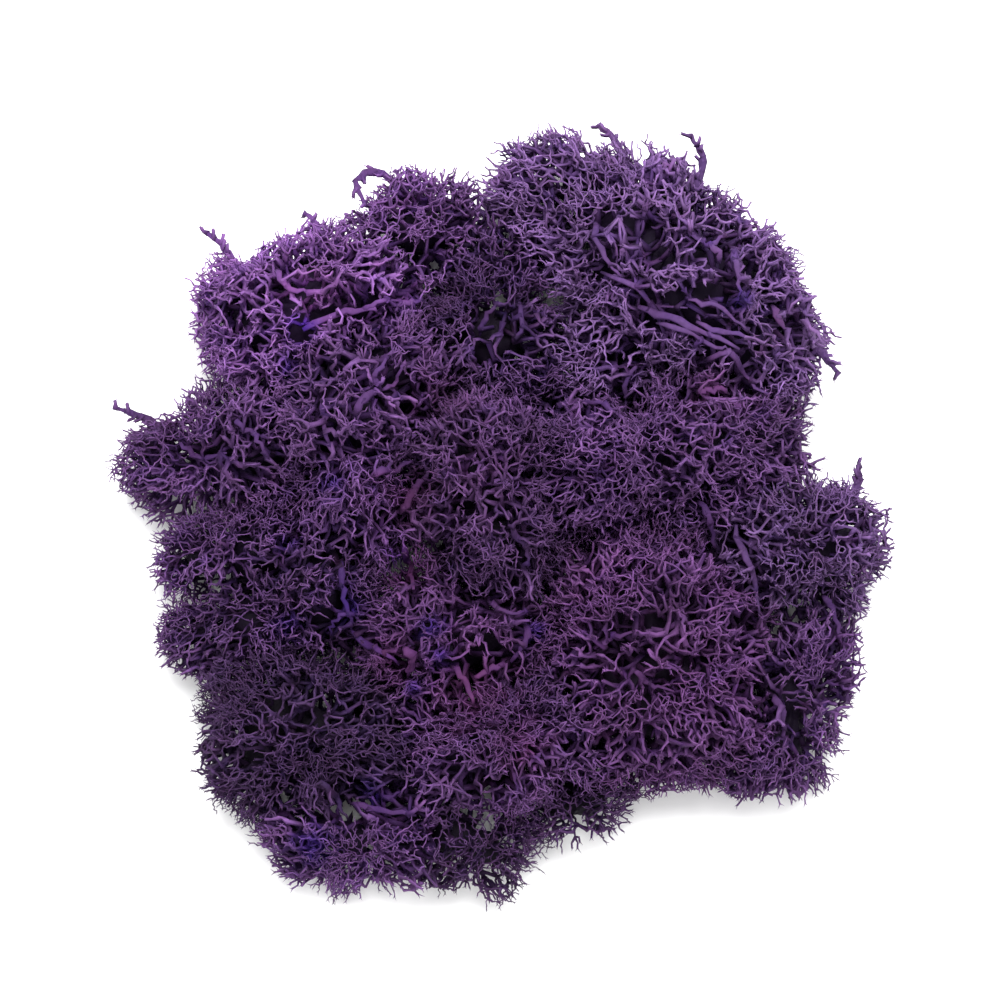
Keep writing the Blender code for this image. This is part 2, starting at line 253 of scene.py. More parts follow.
def reach(tuft, directions, depth_wanted, step=0.4, farthest=46.0):
    """Distance along each direction to that depth or to the tuft's border, and which it was.

    It is the last step, from the tuft's middle, that is still deeper and inside the border.
    """
    distance = np.arange(0, farthest, step)
    points = tuft_middle[tuft] + directions[:, None, :] * distance[:, None]
    owner = np.full(points[..., 0].size, tuft)
    depth, room = depth_and_room(points.reshape(-1, 3), owner)
    left = np.argmin(((depth > depth_wanted) & (room > 0)).reshape(len(directions), -1), axis=1)
    last = np.maximum(left - 1, 0)
    at_border = depth.reshape(len(directions), -1)[np.arange(len(last)), left] > depth_wanted
    return distance[last], at_border


def spaced(points, spacing):
    """Indices of points at least the spacing apart, kept in the given order."""
    kept = []
    for index, point in enumerate(points):
        if not kept or np.linalg.norm(points[kept] - point, axis=1).min() >= spacing:
            kept.append(index)
    return kept


knobs, knob_owner = [], []
for tuft in range(len(names)):
    directions = rng.permutation(golden_directions(KNOB_DIRECTIONS))
    distance, at_border = reach(tuft, directions, 0)
    crown = tuft_middle[tuft] + directions * distance[:, None]
    crown = crown[(crown[:, 2] > KNOB_LOWEST) & ~at_border]
    kept = spaced(crown, KNOB_SPACING)
    knobs.append(crown[kept] + rng.normal(0, KNOB_SCATTER, (len(kept), 3)))
    knob_owner.append(np.full(len(kept), tuft))
knobs, knob_owner = np.concatenate(knobs), np.concatenate(knob_owner)
print("knobs:", len(knobs))

# %% Clefts
CLEFT_DEPTH = 1.9
CLEFT_WIDTH = 1.3
BUMP_HEIGHT = 0.9
# x, y, radius and depth of the larger hollows between heads, in millimetres.
HOLLOWS = [(-8, 34, 5, 2), (6.5, 17, 4, 1.5), (22, 15, 3.5, 2.5), (37, 4, 3.5, 2.5),
           (-8, -17, 3.5, 2.5), (-15, -37, 4, 2), (-20, -6, 3, 2), (29, 33, 3, 2), (42, 20, 3, 2)]
print("fewest knobs on a tuft:", np.bincount(knob_owner).min())


def lowered(points, owner):
    """How much lower the surface lies at each point, in mm, for clefts, bumps and hollows.

    A cleft is deepest half way between a tuft's two nearest knobs, and every tuft has more than
    two: depth * exp(-(beside / width) ** 2). All of it is less in a small tuft, as its shell is.
    """
    amount = BUMP_HEIGHT * bump_noise(points)
    for x, y, radius, depth in HOLLOWS:
        away = ((points[:, :2] - (x, y)) ** 2).sum(axis=1)
        amount += depth * np.exp(-away / radius ** 2)
    for tuft in np.unique(owner):
        mine = owner == tuft
        near = np.linalg.norm(points[mine][:, None] - knobs[knob_owner == tuft], axis=2)
        near.sort(axis=1)
        beside = (near[:, 1] - near[:, 0]) / 2
        amount[mine] += CLEFT_DEPTH * np.exp(-(beside / CLEFT_WIDTH) ** 2)
    return amount * shell_of[owner] / SHELL


def net_depth(points, owner):
    """Depth under the knobby surface, and the room to the next tuft."""
    depth, room = depth_and_room(points, owner)
    return depth - lowered(points, owner), room


# %% [markdown]
# ## Stems that lie bare
# Here and there a thick, flattened stem lies open on top of the net, because the moss was torn
# from its mat. The photograph shows where they run but not how high they lie, so each one is
# given seen from above and draped over the surface. Others stick out past the rim of the heap,
# with their own heights.

# %% Stems
# Tuft, radius, colour (1 rosy, -1 inky), and x and y of the points, in millimetres.
DRAPED_STEMS = [
    ("back_left", 0.75, 0, [(-35, 29), (-28.5, 32), (-25, 32.5), (-22, 32)]),
    ("back_left", 0.5, 0, [(-25, 32.5), (-22, 33.5), (-17.5, 36.5)]),
    ("back_left", 0.65, 0, [(-20.5, 34), (-18.5, 35), (-16, 35), (-14, 36.5)]),
    ("centre_left", 0.8, 0, [(-25.5, 12), (-23, 15.5), (-21, 17)]),
    ("centre_left", 0.5, 0, [(-21, 17), (-22, 19), (-21, 21.5), (-19.5, 23.5)]),
    ("centre_left", 0.5, 0, [(-21, 17), (-19, 18.5), (-17.5, 21), (-17, 23)]),
    ("centre_left", 0.4, 0, [(-20, 17.5), (-18, 17), (-17.5, 16)]),
    ("centre_left", 0.7, 0, [(-31.5, 15.5), (-31, 11.5), (-30, 7)]),
    ("centre_left", 0.7, 0, [(-23, 2), (-19.5, 3.5), (-17.5, 5), (-15.5, 6)]),
    ("centre", 0.8, 1, [(-18, -3), (-15, 1), (-13.5, 3)]),
    ("centre_front", 0.7, 1, [(-17.5, -8), (-16.5, -10.5), (-15.5, -16.5)]),
    ("left_low", 0.6, -1, [(-28, -11.5), (-28, -16), (-27, -20), (-26.5, -23)]),
    ("left_low", 0.5, -1, [(-27, -20), (-29.5, -22), (-30, -24.5)]),
    ("centre_front", 0.7, -1, [(-26.5, -23), (-22.5, -26.5), (-18, -29.5)]),
    ("centre_front", 0.7, 1, [(-9, -30), (-6.5, -33), (-5, -37)]),
    ("centre_front", 0.8, 1, [(-17, -27), (-15.5, -29), (-16.5, -31.5)]),
    ("centre_front", 0.7, 1, [(-5, -32), (-1.5, -30.5), (1, -29.5)]),
    ("centre_front", 0.4, 0, [(-2.5, -19), (-0.5, -20.5), (2.5, -21.5), (5, -20)]),
    ("centre_front", 0.7, -0.5, [(4, -22.5), (4.5, -25), (3, -27.5), (1.5, -29)]),
    ("back_right", 0.75, 0, [(24, 33.5), (28, 31), (32.5, 29), (37, 27), (41.5, 25)]),
    ("back_right", 0.45, 0, [(27, 30), (32.5, 27.5), (37, 25.5), (39.5, 25)]),
    ("back_right", 0.5, 0, [(34, 30), (38, 28), (42, 27), (43.5, 25.5)]),
    ("back_right", 0.5, 0, [(32.5, 33.5), (36.5, 32.5), (40.5, 30.5), (44, 28)]),
    ("back_right", 0.5, 0, [(17.5, 40.5), (24, 35.5), (27, 33.5), (32.5, 32.5)]),
    ("back_right", 0.6, 0, [(16.5, 49.5), (16.5, 45.5), (18.5, 41.5), (21, 38.5)]),
    ("back_right", 0.6, 0, [(35.5, 24), (40, 24), (43.5, 21.5), (47, 18.5)]),
    ("right_middle", 0.65, 1, [(34, 17.5), (37, 18), (40, 18)]),
    ("back_right", 0.6, 0, [(38, 40), (37, 43), (39.5, 45.5)]),
    ("back_right", 0.6, 0, [(40, 42.5), (41, 38.5), (41, 33.5)]),
    ("back_right", 0.7, 0.5, [(47.5, 34), (48.5, 31), (50.5, 28.5)]),
    ("right_middle", 0.7, 0, [(34, -1), (36.5, -5), (37.5, -9)]),
    ("right", 0.6, 0, [(41, -5), (42, -10.5), (44.5, -15.5), (45, -21)]),
    ("right_front", 0.6, 0, [(56.5, -16.5), (58.5, -19.5), (60, -25)]),
    ("right_front", 0.7, 0, [(47.5, -34.5), (49, -38.5), (50, -43)]),
    ("front_left", 0.7, 0, [(-31.5, -49.5), (-29, -52.5), (-27, -56)]),
    ("front", 0.7, 0, [(-26.5, -53), (-21.5, -54.5), (-15, -55.5)]),
    ("back_middle", 0.6, 0, [(-4, 30.5), (-3, 33.5), (-0.5, 36)]),
    ("back_middle", 0.5, 0, [(2.5, 36), (3.5, 32), (2, 29)]),
    ("right_middle", 0.6, 0, [(9.5, 17.5), (14, 17), (19, 15)]),
    ("back_right", 0.5, 0, [(24, 24.5), (22, 21), (22.5, 16.5)]),
    ("centre", 0.6, 0, [(1, -7), (4, -10), (4.5, -13.5)]),
    ("front_right", 0.5, 0, [(17, -27), (19.5, -25.5), (24, -24.5)]),
    ("front_right", 0.5, 0, [(23, -30.5), (25.5, -33.5), (30, -35)]),
    ("left", 0.6, 0, [(-57, 10.5), (-53, 8), (-48.5, 8)]),
    ("left", 0.6, 0, [(-47, 13), (-43.5, 10.5), (-41.5, 6.5)]),
    ("back_left", 0.6, 0, [(-40, 40), (-37.5, 36), (-33, 34.5)]),
]
# Tuft, then x, y and z of the points, in millimetres.
RIM_STEMS = [
    ("back_left_top", [(-16, 55, 15), (-22, 60.5, 17), (-26, 58.5, 20), (-24.5, 53, 23)]),
    ("back_left", [(-44, 38, 18), (-49, 45, 20), (-53, 49, 19)]),
    ("back_left", [(-28, 41, 18), (-32, 48.5, 19), (-35.5, 53, 17)]),
    ("back_right", [(24, 56, 16), (21, 65.5, 17), (17.5, 70, 15)]),
    ("back_right", [(33, 54, 16), (36, 62.5, 17), (34, 67, 19)]),
    ("back_right", [(50, 34, 17), (56.5, 27.5, 18), (60, 24, 16)]),
    ("right", [(60, -1, 13), (63.5, 4, 14), (64, 7.5, 12)]),
    ("left", [(-58, 13, 12), (-64.5, 16.5, 13), (-69.5, 18.5, 11)]),
]
print("bare stems:", len(DRAPED_STEMS), "draped and", len(RIM_STEMS), "on the rim")

# %% Draping and smoothing
DRAPE_DEPTH = 0.7
DRAPE_HEIGHTS = np.arange(0, 46, 0.25)


def drape(spots, tuft):
    """Points x, y, z: each spot at the greatest height that lies the drape's depth inside.

    A spot with nothing inside, past the rim, gets the height where it comes closest to that.
    """
    count = len(DRAPE_HEIGHTS)
    column = np.concatenate([np.repeat(spots, count, axis=0),
                             np.tile(DRAPE_HEIGHTS, len(spots))[:, None]], axis=1)
    depth = net_depth(column, np.full(len(column), tuft))[0].reshape(len(spots), count)
    inside = depth > DRAPE_DEPTH
    highest = count - 1 - np.argmax(inside[:, ::-1], axis=1)
    highest = np.where(inside.any(axis=1), highest, np.argmax(depth, axis=1))
    return np.column_stack([spots, DRAPE_HEIGHTS[highest]])


def smooth_line(points, count):
    """Points along a curve through the given ones (a Catmull-Rom spline)."""
    padded = np.concatenate([[2 * points[0] - points[1]], points, [2 * points[-1] - points[-2]]])
    t = np.linspace(0, len(points) - 1, count)
    at = np.minimum(t.astype(int), len(points) - 2)
    t = (t - at)[:, None]
    p0, p1, p2, p3 = (padded[at + k] for k in range(4))
    return 0.5 * (2 * p1 + (p2 - p0) * t + (2 * p0 - 5 * p1 + 4 * p2 - p3) * t ** 2
                  + (3 * p1 - p0 - 3 * p2 + p3) * t ** 3)


# %% Stem lines
STEM_POINTS = 11
# A draped stem swells soon after its base and thins out to its end; a rim stem only thins out.
BLADE = np.interp(np.linspace(0, 1, STEM_POINTS), [0, 0.15, 0.6, 1], [0.45, 1, 0.75, 0.3])
RIM_RADII = np.linspace(1.0, 0.4, STEM_POINTS)
DRAPED_WANDER, RIM_WANDER = 0.22, 0.15
END_SUNK = 1.2
stems = []
for name, radius, colour, spots in DRAPED_STEMS:
    line = smooth_line(np.array(spots, dtype=float), STEM_POINTS)
    line[1:-1] += rng.normal(0, DRAPED_WANDER, (STEM_POINTS - 2, 2))
    line = drape(line, names.index(name))
    line[1:-1, 2] = (line[:-2, 2] + 2 * line[1:-1, 2] + line[2:, 2]) / 4
    line[[0, -1], 2] -= END_SUNK
    stems.append((names.index(name), line, radius * BLADE, colour))
for name, points in RIM_STEMS:
    line = smooth_line(np.array(points, dtype=float), STEM_POINTS)
    line[1:-1] += rng.normal(0, RIM_WANDER, (STEM_POINTS - 2, 3))
    stems.append((names.index(name), line, RIM_RADII, 0))
stem_owner = np.array([stem[0] for stem in stems])
stem_lines = np.array([stem[1] for stem in stems])
stem_radii = np.array([stem[2] for stem in stems])
stem_colour = np.array([stem[3] for stem in stems], dtype=float)
draped = np.arange(len(stems)) < len(DRAPED_STEMS)
print("stems from", np.round(stem_lines[:, :, 2].min(), 1), "to",
      np.round(stem_lines[:, :, 2].max(), 1), "mm high")

# %% [markdown]
# ## Growing the net
# Real branches fork in whorls: three or four arms leave one point at a wide angle and arch up
# again. Where an arm meets another one it may grow on to it, which closes the small round holes
# that the photograph shows everywhere. Arms get shorter and thinner towards the surface. A
# texture or hair would show no such holes, so every arm is grown here, and a new one only where
# it stays in its tuft and where no arm has been: the end of every arm marks a cell of a fine
# grid as taken.

# %% How an arm's size follows its depth
TIP_LENGTH, LONGEST, LENGTH_GAIN = 1.6, 3.6, 0.3
TIP_RADIUS, THICKEST, RADIUS_GAIN = 0.14, 0.7, 0.07
COARSE_POWER = 1.7


def arm_length(depth, coarse):
    """Arm length in mm: (the tip's length + gain * depth, up to the longest) * coarseness."""
    return np.clip(TIP_LENGTH + LENGTH_GAIN * depth, TIP_LENGTH, LONGEST) * coarse


def arm_radius(depth, coarse):
    """Arm radius in mm: (the tip's radius + gain * depth, up to the thickest) * coarseness ** power."""
    return np.clip(TIP_RADIUS + RADIUS_GAIN * depth, TIP_RADIUS, THICKEST) * coarse ** COARSE_POWER


print("arms at the surface and 5 mm below it:", arm_length(np.array([0, 5]), 1.0), "mm long")


def side_frame(directions):
    """Two unit vectors square to each direction, turned at random about it."""
    side = unit(np.cross(directions, rng.normal(size=directions.shape)))
    return side, np.cross(directions, side)


# %% Roots on the core and on the stems
ROOT_SPACING = 3.3
ROOT_DIRECTIONS = 900
# Roots also stand at the border between two tufts, down to this much deeper than the shell, in
# millimetres. Those are moved back from the border and head up, out of the valley.
VALLEY_DEPTH = 2.5
BORDER_GAP, BORDER_RISE = 0.6, 1.2
LOWEST = 0.45
STOUT_SPREAD, STEM_STOUT = 0.35, 2.3
roots, root_owner, root_heading = [], [], []
for tuft in range(len(names)):
    directions = rng.permutation(golden_directions(ROOT_DIRECTIONS))
    distance, at_border = reach(tuft, directions, shell_of[tuft])
    start = tuft_middle[tuft] + directions * distance[:, None]
    depth = depth_and_room(start, np.full(len(start), tuft))[0]
    open_side = (depth < shell_of[tuft] + VALLEY_DEPTH) & (start[:, 2] > LOWEST)
    start[at_border] -= directions[at_border] * BORDER_GAP
    directions[at_border] = unit(directions[at_border] + [0, 0, BORDER_RISE])
    start, directions = start[open_side], directions[open_side]
    kept = spaced(start, ROOT_SPACING)
    roots.append(start[kept])
    root_owner.append(np.full(len(kept), tuft))
    root_heading.append(directions[kept])
way_along = unit(np.diff(stem_lines, axis=1))[:, 1::2].reshape(-1, 3)
roots.append(stem_lines[:, 1:-1:2].reshape(-1, 3))
root_owner.append(np.repeat(stem_owner, len(way_along) // len(stems)))
root_heading.append(unit(way_along + rng.normal(0, 0.5, way_along.shape)))
roots, root_owner = np.concatenate(roots), np.concatenate(root_owner)
root_heading = np.concatenate(root_heading)
root_stout = 1 + rng.exponential(STOUT_SPREAD, len(roots))
root_stout[-len(way_along):] = STEM_STOUT
print("roots:", len(roots), "of which on stems:", len(way_along))

# %% Grid cells that are taken
CELL_SHARE = 1.01


def cell_keys(points, length):
    """One whole number for each point's grid cell; cells come in sizes that follow the arms.

    A size class is twice the base 2 logarithm of the length, and each field of the number is
    ten bits wide, so a cell's place is counted from 512 to stay above 0.
    """
    size_class = np.round(np.log2(length / TIP_LENGTH) * 2).astype(np.int64)
    cell = CELL_SHARE * TIP_LENGTH * 2 ** (size_class / 2)
    place = np.floor(points / cell[:, None]).astype(np.int64) + 512
    return (((size_class + 8) * 1024 + place[:, 0]) * 1024 + place[:, 1]) * 1024 + place[:, 2]


def keep_clear(lines, radii):
    """The cells on and just above the draped stems, which no arm may take.

    Seven points across a stem, at three heights, are looked up in each size of cell.
    """
    lift = np.array([[0, 0, up] for up in (0.0, 0.8, 1.6)])
    turn = np.linspace(0, math.tau, 7)[:-1]
    ring = np.concatenate([[[0, 0, 0]], np.stack([np.cos(turn), np.sin(turn), 0 * turn], axis=1)])
    around = ring * radii[..., None, None] * 0.6
    points = (lines[:, :, None, None] + around[:, :, None] + lift[:, None]).reshape(-1, 3)
    sizes = TIP_LENGTH * 2 ** (np.arange(-2, 4) / 2)
    return np.unique(np.concatenate([cell_keys(points, np.full(len(points), size))
                                     for size in sizes]))


clear_cells = keep_clear(stem_lines[draped], stem_radii[draped])
print("cells kept clear:", len(clear_cells))

# %% One generation after another
ROOT_ARMS, WHORL = 3, 4
MOST_GENERATIONS = 10
# An arm leaves at the wide angle and bends to the narrow one, then a little outwards, and up
# where it's close to the next tuft; the lift fades over the reach, in millimetres.
WIDE, NARROW = math.radians(66), math.radians(26)
OUTWARD = 0.2
LIFT, LIFT_REACH = 0.5, 2.5
LENGTH_SPREAD = (0.75, 1.25)
WIDE_SPREAD = (0.7, 1.15)
TURN_SPREAD, BEND_SPREAD = 0.3, 0.2
# How much of a root's stoutness passes to its arms, and how much longer it makes them.
STOUT_KEPT = 0.72
STOUT_LENGTH = 0.3
# How far an arm's end may lie past the surface is drawn for each arm: exponential with this
# mean, cut off at the most and less a little, so that about half of them have to stay inside.
PAST_MEAN, PAST_MOST, PAST_LESS = 0.75, 2.6, 0.6
# An end may cross the border with the next tuft by up to the interlock, or has to keep back
# from it by up to the other value. It may lie a little deeper than the shell.
INTERLOCK, KEPT_BACK = 1.0, 0.4
BELOW_SHELL = 0.5
# Joins are for arms near the surface, when the end they meet lies at about their own length.
JOIN_SHARE = 0.6
JOIN_DEEPEST = 4
JOIN_GAP = (0.5, 1.5)


def grow(roots, root_owner, root_heading, root_stout):
    """Grow every tuft at once and return the arms as arrays.

    An arm is a bent line of three points. Its first half is heading * cos(wide) + across *
    sin(wide), its second half the same with the narrow angle, plus outwards and up. An arm that
    finds its cell taken may join the arm that took it, and closes a ring. A stout root makes
    its first few generations thicker and longer.
    """
    arms = {key: [] for key in ("a", "b", "c", "depth", "coarse", "owner", "parent", "joined",
                                "stout")}
    ends = np.zeros((0, 3))
    start, owner, heading, stout = roots, root_owner, root_heading, root_stout
    parent = np.full(len(roots), -1)
    taken, taken_by = clear_cells, np.full(len(clear_cells), -1)
    for generation in range(MOST_GENERATIONS):
        each = ROOT_ARMS if generation == 0 else WHORL
        start_each = np.repeat(start, each, axis=0)
        owner_each = np.repeat(owner, each)
        parent_each = np.repeat(parent, each)
        heading_each = np.repeat(heading, each, axis=0)
        depth, room = net_depth(start_each, owner_each)
        coarse = coarseness(start_each, owner_each)
        stout_each = np.repeat(stout, each)
        length = arm_length(depth, coarse) * rng.uniform(*LENGTH_SPREAD, len(depth))
        length *= 1 + STOUT_LENGTH * (stout_each - 1)
        side, other = (np.repeat(vector, each, axis=0) for vector in side_frame(heading))
        turn = np.tile(np.arange(each), len(start)) * math.tau / each
        turn = turn + rng.normal(0, TURN_SPREAD, len(turn))
        across = side * np.cos(turn)[:, None] + other * np.sin(turn)[:, None]
        wide = WIDE * rng.uniform(*WIDE_SPREAD, len(turn))[:, None]
        outward = OUTWARD * unit(start_each - tuft_middle[owner_each])
        outward[:, 2] += LIFT * np.exp(-np.maximum(room, 0) / LIFT_REACH)
        first = heading_each * np.cos(wide) + across * np.sin(wide)
        second = heading_each * math.cos(NARROW) + across * math.sin(NARROW)
        second = unit(second + outward + rng.normal(0, BEND_SPREAD, second.shape))
        middle = start_each + first * length[:, None] * 0.5
        end = middle + second * length[:, None] * 0.5
        end_depth, end_room = net_depth(end, owner_each)
        past = np.minimum(rng.exponential(PAST_MEAN, len(end)), PAST_MOST) - PAST_LESS
        least_room = rng.uniform(-INTERLOCK, KEPT_BACK, len(end))
        fits = (end_depth > -past) & (end_room > least_room)
        fits &= (end[:, 2] > LOWEST) & (middle[:, 2] > LOWEST)
        fits &= end_depth < shell_of[owner_each] + BELOW_SHELL
        keys = cell_keys(end, length)
        spot = np.minimum(np.searchsorted(taken, keys), len(taken) - 1)
        met = taken[spot] == keys
        order = rng.permutation(np.flatnonzero(fits & ~met))
        fresh = order[np.unique(keys[order], return_index=True)[1]]
        target = taken_by[spot]
        join = fits & met & (target >= 0) & (target != parent_each)
        join &= (rng.uniform(size=len(join)) < JOIN_SHARE) & (end_depth < JOIN_DEEPEST)
        order = rng.permutation(np.flatnonzero(join))
        order = order[np.unique(target[order], return_index=True)[1]]
        gap = np.linalg.norm(ends[target[order]] - start_each[order], axis=1)
        nearest, farthest = (share * length[order] for share in JOIN_GAP)
        order = order[(gap > nearest) & (gap < farthest)]
        end[order] = ends[target[order]]
        middle[order] = 0.5 * middle[order] + 0.25 * (start_each[order] + end[order])
        chosen = np.concatenate([fresh, order])
        joined = np.concatenate([np.full(len(fresh), -1), target[order]])
        for key, values in (("a", start_each), ("b", middle), ("c", end), ("depth", end_depth),
                            ("coarse", coarse), ("owner", owner_each), ("parent", parent_each),
                            ("stout", stout_each)):
            arms[key].append(values[chosen])
        arms["joined"].append(joined)
        numbers = len(ends) + np.arange(len(fresh))
        ends = np.concatenate([ends, end[chosen]])
        taken = np.concatenate([taken, keys[fresh]])
        taken_by = np.concatenate([taken_by, numbers])
        sort = np.argsort(taken, kind="stable")
        taken, taken_by = taken[sort], taken_by[sort]
        start, owner, heading, parent = end[fresh], owner_each[fresh], second[fresh], numbers
        stout = 1 + (stout_each[fresh] - 1) * STOUT_KEPT
        print(f"generation {generation}: {len(fresh)} arms and {len(order)} joins")
        if len(fresh) == 0:
            break
    return {key: np.concatenate(values) for key, values in arms.items()}


def twigs_on(stem_numbers, each=7, length=1.8):
    """Short arms on the outer two thirds of some stems, for ends that look like antlers."""
    at = np.linspace(STEM_POINTS // 3, STEM_POINTS - 1, each).astype(int)
    a = stem_lines[stem_numbers][:, at].reshape(-1, 3)
    along = unit(np.gradient(stem_lines[stem_numbers], axis=1))[:, at].reshape(-1, 3)
    side, other = side_frame(along)
    first = along * 0.45 + side * 0.9
    b = a + unit(first) * length * 0.5
    c = b + unit(first + 0.6 * other + 0.5 * along) * length * 0.5
    keep = (b[:, 2] > LOWEST) & (c[:, 2] > LOWEST)
    count = int(keep.sum())
    owner = np.repeat(stem_owner[stem_numbers], each)[keep]
    return {"a": a[keep], "b": b[keep], "c": c[keep], "depth": np.full(count, 0.8),
            "coarse": np.full(count, 1.25), "owner": owner, "parent": np.full(count, -1),
            "joined": np.full(count, -1), "stout": np.full(count, 1.3)}


arms = grow(roots, root_owner, root_heading, root_stout)
twigs = twigs_on(np.flatnonzero(~draped))
arms = {key: np.concatenate([arms[key], twigs[key]]) for key in arms}
is_tip = arms["joined"] < 0
is_tip[arms["parent"][arms["parent"] >= 0]] = False
is_tip[arms["joined"][arms["joined"] >= 0]] = False
print("arms:", len(is_tip), "tips:", int(is_tip.sum()))

# %% [markdown]
# ## Skinning the arms
# Each arm becomes a closed three-sided tube round its three points. A Skin modifier would take
# several times the faces, and at this size three sides are enough, because smooth shading
# rounds them. Where arms meet they are thicker than in their middles, so that
# they look webbed together and the holes between them look round. Arms deep in the shade are
# straight, with two rings. A tip near the surface ends in two small prongs, which are the
# points of the lichen's stars, and any other tip runs out to a point.

# %% Radii
ROOT_BELOW = 1.5
START_FACTOR, END_FACTOR, MIDDLE_FACTOR = 1.45, 1.15, 0.36
THICKEST_START = 0.72
END_SHARE = 0.8
STOUT_END = 0.8
parent_depth = np.where(arms["parent"] >= 0, arms["depth"][arms["parent"]],
                        arms["depth"] + ROOT_BELOW)
coarse, stout = arms["coarse"], arms["stout"]
radius_start = arm_radius(np.maximum(parent_depth, 0), coarse) * stout * START_FACTOR
radius_start = np.minimum(radius_start, THICKEST_START)
radius_end = arm_radius(np.maximum(arms["depth"], 0), coarse)
radius_end = radius_end * (1 + (stout - 1) * STOUT_END) * END_FACTOR
radius_end = np.minimum(radius_end, END_SHARE * radius_start)
radius_middle = (radius_end + radius_start) * MIDDLE_FACTOR
print("radii from", radius_middle.min().round(2), "to", radius_start.max().round(2), "mm")

# %% Rings
SIDES = 3


def ring_points(centre, tangent, side, radius, sides=SIDES, flat=1.0):
    """Points of a ring: centre plus radius times (cosine of side plus flat sine of the other)."""
    side = unit(side - tangent * np.sum(side * tangent, axis=-1, keepdims=True))
    other = np.cross(tangent, side) * flat
    turn = np.arange(sides) * math.tau / sides
    around = side[..., None, :] * np.cos(turn)[:, None] + other[..., None, :] * np.sin(turn)[:, None]
    return centre[..., None, :] + around * radius[..., None, None]


def tube_faces(rings, sides, first_vertex, pointed):
    """Triangles of many like tubes: the base, the strips between rings, and the cap or point."""
    triangles = [[0, side + 1, side] for side in range(1, sides - 1)]
    for ring in range(rings - 1):
        for side in range(sides):
            low, next_low = ring * sides + side, ring * sides + (side + 1) % sides
            triangles += [[low, next_low, next_low + sides], [low, next_low + sides, low + sides]]
    last = (rings - 1) * sides
    if pointed:
        triangles += [[last + side, last + (side + 1) % sides, last + sides]
                      for side in range(sides)]
    else:
        triangles += [[last, last + side, last + side + 1] for side in range(1, sides - 1)]
    return (first_vertex[:, None, None] + np.array(triangles)).reshape(-1, 3)


class Net:
    """Collects points, triangles and colour values of one piece."""

    def __init__(self):
        self.points, self.faces, self.values = [], [], []
        self.size = 0

    def add(self, points, faces, near, tone, rosy, inky):
        """Append a batch; the four values are given for every point of it."""
        self.points.append(points)
        self.faces.append(faces + self.size)
        self.values.append(np.column_stack([near, tone, rosy, inky]))
        self.size += len(points)

    def arrays(self):
        """Everything so far as three arrays."""
        return np.concatenate(self.points), np.concatenate(self.faces), np.concatenate(self.values)


print("triangles of a bent arm:", len(tube_faces(3, SIDES, np.zeros(1, dtype=int), False)))

# %% [markdown]
# ## Dye, with some painted shade and light
# The moss took its dye unevenly. Patches are redder, a few spots hold drops of undissolved blue-violet
# dye, and some tufts are darker than others, partly from their dye and partly as painted shade and
# light. A pattern in the material can't know which tuft it's on, so the dye and that brightness are
# worked out here and every point carries its values.

# %% Spots of dye
# x, y and radius in millimetres, and how strong.
ROSY_SPOTS = np.array([(-5.6, -34, 7, 1.0), (-15.8, 0, 4.5, 0.9), (-33, 36, 5, 0.5),
                       (-10, 17.6, 5, 0.6), (37, 19, 4, 0.7), (30, -31, 13, 0.2),
                       (3, -44, 5, 0.8), (-16.5, -11, 4, 0.9), (-4, 2, 9, 0.25),
                       (15, -16, 8, 0.3), (-19, -29, 4, 0.8)])
INKY_SPOTS = np.array([(-35.1, 29.5, 1.9, 1.0), (-18.6, -9.5, 1.6, 0.7), (-12.5, -23.5, 2.0, 1.0),
                       (-23.2, -50.7, 1.8, 0.9), (-33.1, -60.4, 2.6, 0.9), (-37.8, -8.1, 1.6, 0.6),
                       (-37.9, -22.2, 1.8, 0.7), (-10.8, -28.7, 1.8, 0.9),
                       (-15.3, -33.3, 1.6, 0.8), (6.2, -22.7, 1.6, 0.8), (-38, 22.4, 1.3, 0.7),
                       (-29.8, 1.5, 2.0, 0.8), (42, 33.5, 1.4, 0.7), (-27, -19, 2.2, 0.7)])
# Brightness of each tuft: partly its own colour, partly painted shade and light.
TUFT_TONE_AND_SHADE = {"front_left": 0.55, "back_middle": 0.88, "left_low": 0.75, "right_front": 0.82,
             "front_small": 0.6, "front_end": 0.55, "back_left": 1.55, "back_left_top": 1.2,
             "back_right": 1.1, "centre": 0.65, "centre_front": 0.78, "front_right": 0.82,
             "front_middle": 0.84, "left_front": 0.85, "right_middle": 0.85, "right": 0.85,
             "left": 0.9, "centre_left": 0.92}
tuft_tone_and_shade = np.array([TUFT_TONE_AND_SHADE.get(name, 1.0) for name in names])
print("tufts with a tone of their own:", len(TUFT_TONE_AND_SHADE))

# %% Dye at any point
SPOT_WAVE, HUE_WAVE = 3.5, 5
RAGGED_EDGE = 0.35
TONE_SPREAD = 0.13
HUE_SPREAD = 0.17
INKY_HUE = 0.6
STEM_ROSY, STEM_INKY = 0.6, 0.3
spot_noise = smooth_noise(SPOT_WAVE)
hue_noise = smooth_noise(HUE_WAVE)


def dye_at(points, owner, colour=0.0):
    """Tone, rosy and inky values of points, for their material.

    Rosy is the strongest spot or the stem's own colour, plus the noise where that is above 0,
    and inky the same for the noise below 0. The noise also makes the spots' edges ragged.
    """
    tone = tuft_tone_and_shade[owner] * (1 + TONE_SPREAD * tone_noise(points))
    hue = HUE_SPREAD * hue_noise(points)
    ragged = 1 + RAGGED_EDGE * spot_noise(points)[:, None]
    rosy = np.maximum(strongest(points, ROSY_SPOTS, ragged), STEM_ROSY * colour)
    inky = np.maximum(strongest(points, INKY_SPOTS, ragged), -STEM_INKY * colour)
    rosy = np.clip(rosy + np.maximum(hue, 0), 0, 1)
    inky = np.clip(inky + np.maximum(-INKY_HUE * hue, 0), 0, 1)
    return tone, rosy, inky


head_dye = dye_at(head_middle, head_owner)
print("mean tone, rosy and inky:", [round(float(value.mean()), 2) for value in head_dye])

# %% Arms and prongs into the net
PRONG_LENGTH = 0.95
PRONG_RADIUS = 0.11
PRONG_SPREAD = math.radians(38)
